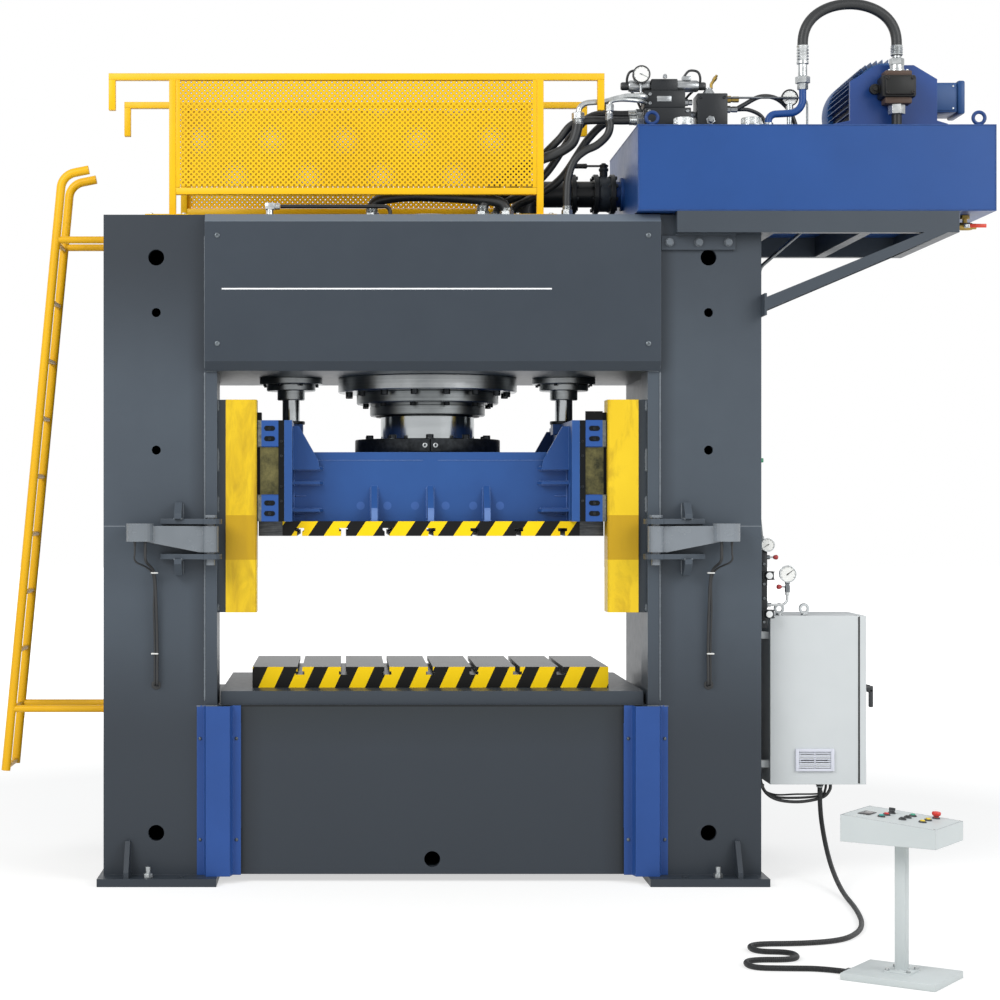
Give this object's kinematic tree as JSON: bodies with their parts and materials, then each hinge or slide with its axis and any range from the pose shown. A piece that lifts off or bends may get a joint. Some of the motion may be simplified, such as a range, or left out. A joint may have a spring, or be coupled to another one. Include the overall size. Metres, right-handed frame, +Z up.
{
  "type": "hydraulic press",
  "caption": "Hydraulic press with a closed welded frame, rail-guided slide, T-slot bolster and platen, oil tank with pump set on top, ladder, railings, cabinet and console.",
  "frame": {"origin": "on the floor at the middle of the four anchor holes, under the main cylinder's axis", "axes": "+X to the operator's right, +Y into the machine's depth, +Z up"},
  "size_m": [5.4852, 4.3007, 4.8762],
  "materials": {
    "grey_paint": "dark grey enamel, satin",
    "machined_steel": "machined plate, oiled",
    "blue_paint": "blue enamel, semi-gloss",
    "rail_yellow": "yellow paint, greased",
    "black_steel": "black enamel",
    "bronze": "bronze liner, greasy",
    "chrome_rod": "hard chrome, ground",
    "conduit_plastic": "corrugated black plastic",
    "ladder_paint": "yellow enamel on tube",
    "yellow_paint": "safety yellow enamel",
    "zinc": "bright zinc plate",
    "red_plastic": "red moulded plastic",
    "motor_paint": "blue enamel on castings",
    "hose_rubber": "wrapped black rubber",
    "light_paint": "light grey powder coat",
    "black_plastic": "black moulded plastic",
    "teal_plastic": "teal moulded plastic",
    "green_plastic": "green moulded plastic",
    "yellow_plastic": "yellow moulded plastic"
  },
  "bodies": {
    "frame": {"left_column": "grey_paint", "right_column": "grey_paint", "crown": "grey_paint", "crown_cover": "grey_paint", "bed": "grey_paint", "bolster": "machined_steel", "left_corner_guard": "blue_paint", "right_corner_guard": "blue_paint", "guide_rails": "rail_yellow", "main_cylinder": "black_steel", "cylinder_gland": "black_steel", "left_return_cylinder": "black_steel", "right_return_cylinder": "black_steel", "frame_bolts": "black_steel", "left_arm_cables": "conduit_plastic", "right_arm_cables": "conduit_plastic", "ladder": "ladder_paint", "front_railing": "yellow_paint", "rear_railing": "yellow_paint", "tank": "blue_paint", "tank_frame": "grey_paint", "tank_fittings": "zinc", "drain_valve": "zinc", "suction_line": "black_steel", "pump_mount": "blue_paint", "motor": "motor_paint", "pump": "black_steel", "pump_hose": "hose_rubber", "oil_pipes": "machined_steel", "valve_block": "black_steel", "crown_hoses": "hose_rubber", "gauge_panel": "zinc", "cabinet": "light_paint", "console_base": "light_paint", "console_box": "light_paint", "conduit": "conduit_plastic"},
    "slide": {"slide": "blue_paint", "platen": "machined_steel", "gibs": "bronze", "ram": "chrome_rod", "ram_clamp": "black_steel", "return_rods": "chrome_rod"},
    "left_arm": {"left_swing_arm": "grey_paint"},
    "right_arm": {"right_swing_arm": "grey_paint"},
    "door": {"cabinet_door": "light_paint"},
    "handle": {"door_handle": "black_plastic"},
    "upper_knob": {"upper_gauge_knob": "red_plastic"},
    "lower_knob": {"lower_gauge_knob": "red_plastic"},
    "tank_knob": {"tank_gauge_knob": "red_plastic"},
    "butterfly_lever": {"butterfly_lever": "black_steel"},
    "drain_lever": {"drain_lever": "red_plastic"},
    "estop": {"estop_button": "red_plastic"},
    "selector": {"selector_knob": "black_plastic"},
    "teal_button": {"teal_button": "teal_plastic"},
    "red_button": {"red_button": "red_plastic"},
    "first_black_button": {"first_black_button": "black_plastic"},
    "second_black_button": {"second_black_button": "black_plastic"},
    "green_button": {"green_button": "green_plastic"},
    "first_yellow_button": {"first_yellow_button": "yellow_plastic"},
    "second_yellow_button": {"second_yellow_button": "yellow_plastic"}
  },
  "joints": [
    {"name": "slide_stroke", "type": "slide", "parent": "frame", "child": "slide", "axis": [0, 0, 1], "range_m": [-0.48, 0.08]},
    {"name": "left_arm_swing", "type": "hinge", "parent": "frame", "child": "left_arm", "pos_m": [-1.215, -0.83, 1.89], "axis": [0, 0, 1], "range_deg": [0, 100]},
    {"name": "right_arm_swing", "type": "hinge", "parent": "frame", "child": "right_arm", "pos_m": [1.215, -0.83, 1.89], "axis": [0, 0, 1], "range_deg": [-100, 0]},
    {"name": "cabinet_door_hinge", "type": "hinge", "parent": "frame", "child": "door", "pos_m": [2.4045, -0.113, 0.991], "axis": [0, 0, 1], "range_deg": [0, 115]},
    {"name": "door_handle_turn", "type": "hinge", "parent": "door", "child": "handle", "pos_m": [2.423, -0.515, 1.055], "axis": [1, 0, 0], "range_deg": [0, 90]},
    {"name": "upper_gauge_knob_turn", "type": "hinge", "parent": "frame", "child": "upper_knob", "pos_m": [1.9, -0.62, 1.788], "axis": [1, 0, 0], "range_deg": [0, 360]},
    {"name": "lower_gauge_knob_turn", "type": "hinge", "parent": "frame", "child": "lower_knob", "pos_m": [1.94, -0.62, 1.624], "axis": [1, 0, 0], "range_deg": [0, 360]},
    {"name": "tank_gauge_knob_turn", "type": "hinge", "parent": "frame", "child": "tank_knob", "pos_m": [2.05, -0.48, 4.304], "axis": [1, 0, 0], "range_deg": [0, 360]},
    {"name": "butterfly_lever_turn", "type": "hinge", "parent": "frame", "child": "butterfly_lever", "pos_m": [1.01, -0.15, 4.03], "axis": [0, 0, 1], "range_deg": [0, 90]},
    {"name": "drain_lever_turn", "type": "hinge", "parent": "frame", "child": "drain_lever", "pos_m": [2.955, -0.67, 3.622], "axis": [0, 1, 0], "range_deg": [0, 90]},
    {"name": "estop_press", "type": "slide", "parent": "frame", "child": "estop", "axis": [0.0646, -0.0452, 0.9969], "range_m": [-0.004, 0], "stiffness_N_per_m": 1200},
    {"name": "selector_turn", "type": "hinge", "parent": "frame", "child": "selector", "pos_m": [1.94019, -3.073, 0.72249], "axis": [0.0646, -0.0452, 0.9969], "range_deg": [-45, 45]},
    {"name": "teal_button_press", "type": "slide", "parent": "frame", "child": "teal_button", "axis": [0.0646, -0.0452, 0.9969], "range_m": [-0.004, 0], "stiffness_N_per_m": 600},
    {"name": "red_button_press", "type": "slide", "parent": "frame", "child": "red_button", "axis": [0.0646, -0.0452, 0.9969], "range_m": [-0.004, 0], "stiffness_N_per_m": 600},
    {"name": "first_black_button_press", "type": "slide", "parent": "frame", "child": "first_black_button", "axis": [0.0646, -0.0452, 0.9969], "range_m": [-0.004, 0], "stiffness_N_per_m": 600},
    {"name": "second_black_button_press", "type": "slide", "parent": "frame", "child": "second_black_button", "axis": [0.0646, -0.0452, 0.9969], "range_m": [-0.004, 0], "stiffness_N_per_m": 600},
    {"name": "green_button_press", "type": "slide", "parent": "frame", "child": "green_button", "axis": [0.0646, -0.0452, 0.9969], "range_m": [-0.004, 0], "stiffness_N_per_m": 600},
    {"name": "first_yellow_button_press", "type": "slide", "parent": "frame", "child": "first_yellow_button", "axis": [0.0646, -0.0452, 0.9969], "range_m": [-0.004, 0], "stiffness_N_per_m": 600},
    {"name": "second_yellow_button_press", "type": "slide", "parent": "frame", "child": "second_yellow_button", "axis": [0.0646, -0.0452, 0.9969], "range_m": [-0.004, 0], "stiffness_N_per_m": 600}
  ]
}
